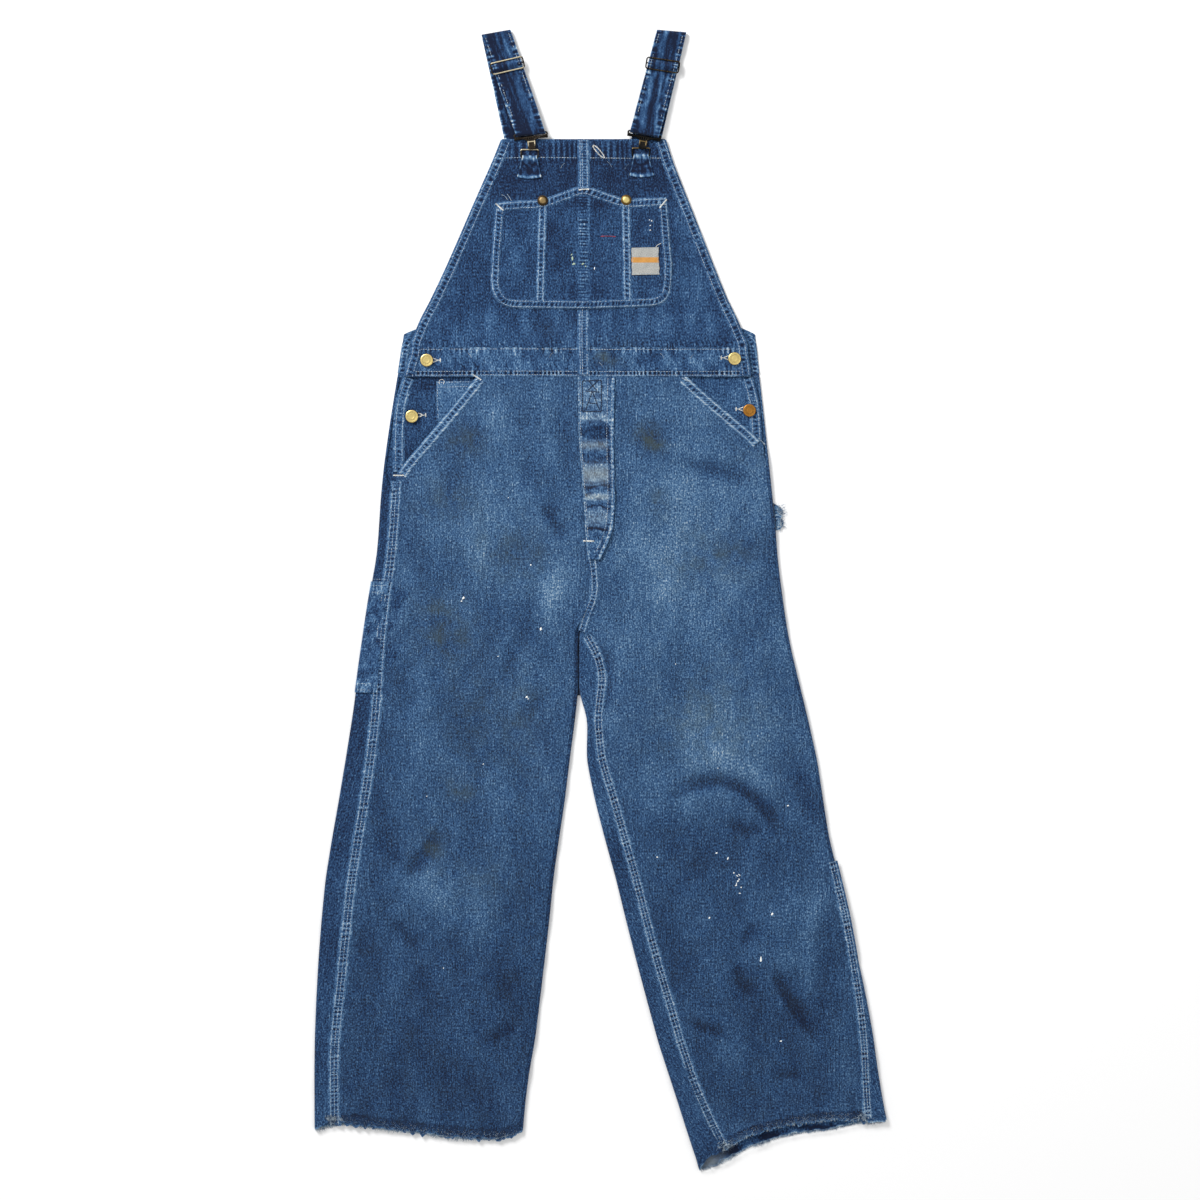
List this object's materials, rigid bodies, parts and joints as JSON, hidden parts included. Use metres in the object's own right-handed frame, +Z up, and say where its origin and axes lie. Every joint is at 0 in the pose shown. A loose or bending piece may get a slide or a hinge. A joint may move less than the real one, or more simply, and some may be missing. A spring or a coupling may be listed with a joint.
{
  "type": "paint spattered dungarees",
  "caption": "Worn denim bib dungarees laid flat, with folded straps, wire buckles, bib pocket, fly, slanted hip pockets, frayed hems and paint specks.",
  "frame": {"origin": "on the surface the garment lies on, below the middle of its laid-out box", "axes": "+Y from the hems to the straps, +X to the right as seen from above with the front up, +Z up out of the front"},
  "size_m": [0.733, 1.461, 0.0113],
  "materials": {
    "denim": "faded mid-blue twill with stains and paint specks",
    "strap_denim": "darker, less worn twill with puckered stitched edges",
    "woven_label": "plain woven patch",
    "button_brass": "rubbed brass, dull in the hollows",
    "antique_brass": "tarnished wire, bright where it rubs"
  },
  "bodies": {
    "root": {"back_leg_left": "denim", "back_leg_right": "denim", "back_yoke": "denim", "bib_buckle_left": "antique_brass", "bib_buckle_right": "antique_brass", "bib_left": "denim", "bib_pocket": "denim", "bib_right": "denim", "fly_facing": "denim", "front_leg_left": "denim", "front_leg_right": "denim", "hip_button_left": "button_brass", "hip_button_right": "button_brass", "label_patch": "woven_label", "pocket_facing_left": "denim", "pocket_facing_right": "denim", "rivet_left": "button_brass", "rivet_right": "button_brass", "slider_left": "antique_brass", "slider_right": "antique_brass", "strap_left": "strap_denim", "strap_right": "strap_denim", "tab_left": "strap_denim", "tab_right": "strap_denim", "tab_ring_left": "antique_brass", "tab_ring_right": "antique_brass", "tool_pocket": "denim", "torn_scrap": "denim", "waist_button_left": "button_brass", "waist_button_right": "button_brass", "waistband_front": "denim", "watch_pocket": "denim"}
  },
  "joints": []
}
